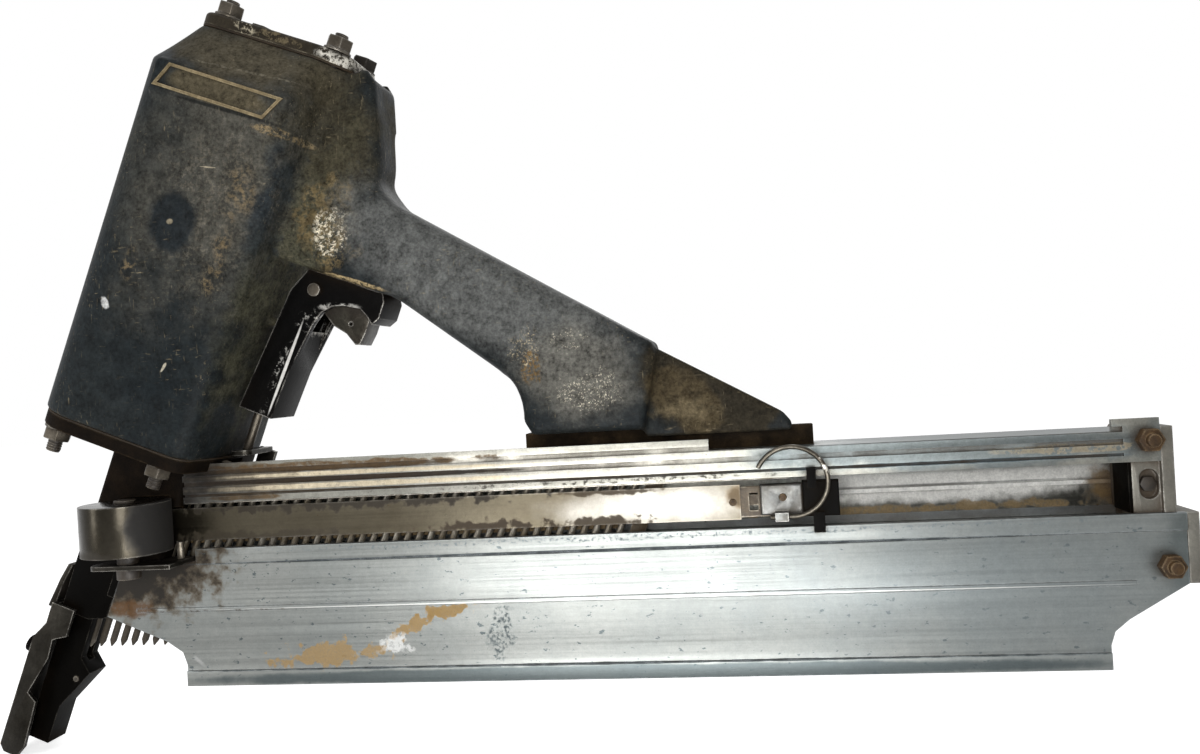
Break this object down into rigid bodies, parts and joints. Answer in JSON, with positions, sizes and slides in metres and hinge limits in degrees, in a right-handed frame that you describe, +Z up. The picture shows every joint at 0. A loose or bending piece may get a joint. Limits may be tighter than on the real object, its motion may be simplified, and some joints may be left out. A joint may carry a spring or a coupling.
{
  "type": "pneumatic strip nailer",
  "caption": "Air-driven framing nailer with a long open strip magazine, contact trip, trigger and spring-fed pusher, worn from use.",
  "frame": {"origin": "middle of the grip", "axes": "+X along the magazine to the rear, +Z up, +Y away from the side with the feed window"},
  "size_m": [0.5717, 0.0927, 0.3671],
  "materials": {
    "body_paint": "light alloy casting under worn dark blue-grey paint",
    "cast_black": "blackened steel",
    "cast_brown": "dirty cast steel",
    "steel": "worn steel",
    "steel_dark": "dull dark steel",
    "rusty": "rusty steel",
    "alloy": "anodised extrusion, scuffed",
    "alloy_cast": "cast light alloy",
    "rubber": "black rubber",
    "gasket": "fibre gasket",
    "black_plastic": "black",
    "paper": "paper tape",
    "brass": "dull"
  },
  "bodies": {
    "tool": {"air_inlet_bushing": "brass", "body_casting": "body_paint", "bracket_pin": "steel", "bracket_screws": "steel_dark", "bumper": "rubber", "cap_gasket": "gasket", "cap_nuts": "steel", "cap_studs": "rusty", "cap_washers": "steel", "cylinder_cap": "alloy_cast", "cylinder_sleeve": "alloy_cast", "drum_axle": "steel_dark", "drum_bracket": "steel", "handle_bracket": "steel_dark", "head_valve_spring": "steel", "magazine_far_plate": "alloy", "magazine_near_plate": "alloy", "magazine_upper_rail": "alloy", "nail_strip": "steel", "nail_tape": "paper", "nose_casting": "cast_brown", "nose_gasket": "gasket", "nose_nuts": "steel", "nose_studs": "rusty", "nose_washers": "steel", "nosepiece": "cast_black", "nosepiece_pin": "steel", "rear_bolts": "rusty", "rear_end_block": "alloy_cast", "rear_nuts": "rusty", "rear_stop_plate": "steel", "recess_nut": "steel_dark", "sleeve_seals": "rubber", "spring_band": "steel", "spring_drum": "steel", "trigger_guard": "cast_black", "trigger_pin": "steel", "trigger_valve_body": "black_plastic", "trip_spring": "steel", "valve_seals": "rubber", "valve_spring": "steel", "wear_strip": "steel"},
    "driver": {"piston": "alloy_cast", "piston_ring": "steel", "driver_blade": "steel"},
    "head_valve": {"head_valve": "alloy_cast"},
    "contact_trip": {"contact_trip": "steel", "trip_upper_plate": "steel_dark", "trip_screw": "steel_dark", "trip_yoke": "steel_dark", "link_rod": "steel"},
    "trigger": {"trigger_lever": "steel_dark"},
    "valve_stem": {"valve_stem": "steel"},
    "pusher": {"pusher_plate": "steel", "pusher_block": "alloy_cast", "pusher_follower": "black_plastic", "pusher_rivets": "rusty"},
    "pull_ring": {"pull_ring": "steel"},
    "spring_coil": {"spring_coil": "steel"}
  },
  "joints": [
    {"name": "driver_slide", "type": "slide", "parent": "tool", "child": "driver", "axis": [-0.3746, 0, -0.9272], "range_m": [0, 0.134]},
    {"name": "head_valve_slide", "type": "slide", "parent": "tool", "child": "head_valve", "axis": [0.3746, 0, 0.9272], "range_m": [0, 0.005], "stiffness_N_per_m": 1000, "springref_m": -0.02, "deforming": ["head_valve_spring"]},
    {"name": "contact_trip_slide", "type": "slide", "parent": "tool", "child": "contact_trip", "axis": [0.3746, 0, 0.9272], "range_m": [0, 0.012], "stiffness_N_per_m": 600, "springref_m": -0.02, "deforming": ["trip_spring"]},
    {"name": "trigger_pivot", "type": "hinge", "parent": "tool", "child": "trigger", "pos_m": [-0.06467, 0, 0.00106], "axis": [0, -1, 0], "range_deg": [0, 12], "stiffness_Nm_per_rad": 0.6, "springref_deg": -8.59},
    {"name": "valve_stem_slide", "type": "slide", "parent": "tool", "child": "valve_stem", "axis": [0.3746, 0, 0.9272], "range_m": [0, 0.0055], "deforming": ["valve_spring"]},
    {"name": "pusher_slide", "type": "slide", "parent": "tool", "child": "pusher", "axis": [1, 0, 0], "range_m": [0, 0.118], "stiffness_N_per_m": 15, "springref_m": -0.6, "deforming": ["spring_band"]},
    {"name": "coil_spin", "type": "hinge", "parent": "tool", "child": "spring_coil", "pos_m": [-0.1587, -0.03, -0.11], "axis": [0, 0, 1], "range_deg": [-365, 0]},
    {"name": "ring_swing", "type": "hinge", "parent": "pusher", "child": "pull_ring", "pos_m": [0.151, -0.0185, -0.1165], "axis": [1, 0, 0], "range_deg": [0, 135]}
  ],
  "couplings": [
    {"joint": "valve_stem_slide", "follows": "trigger_pivot", "m_per_rad": 0.025},
    {"joint": "coil_spin", "follows": "pusher_slide", "rad_per_m": -53.763}
  ]
}
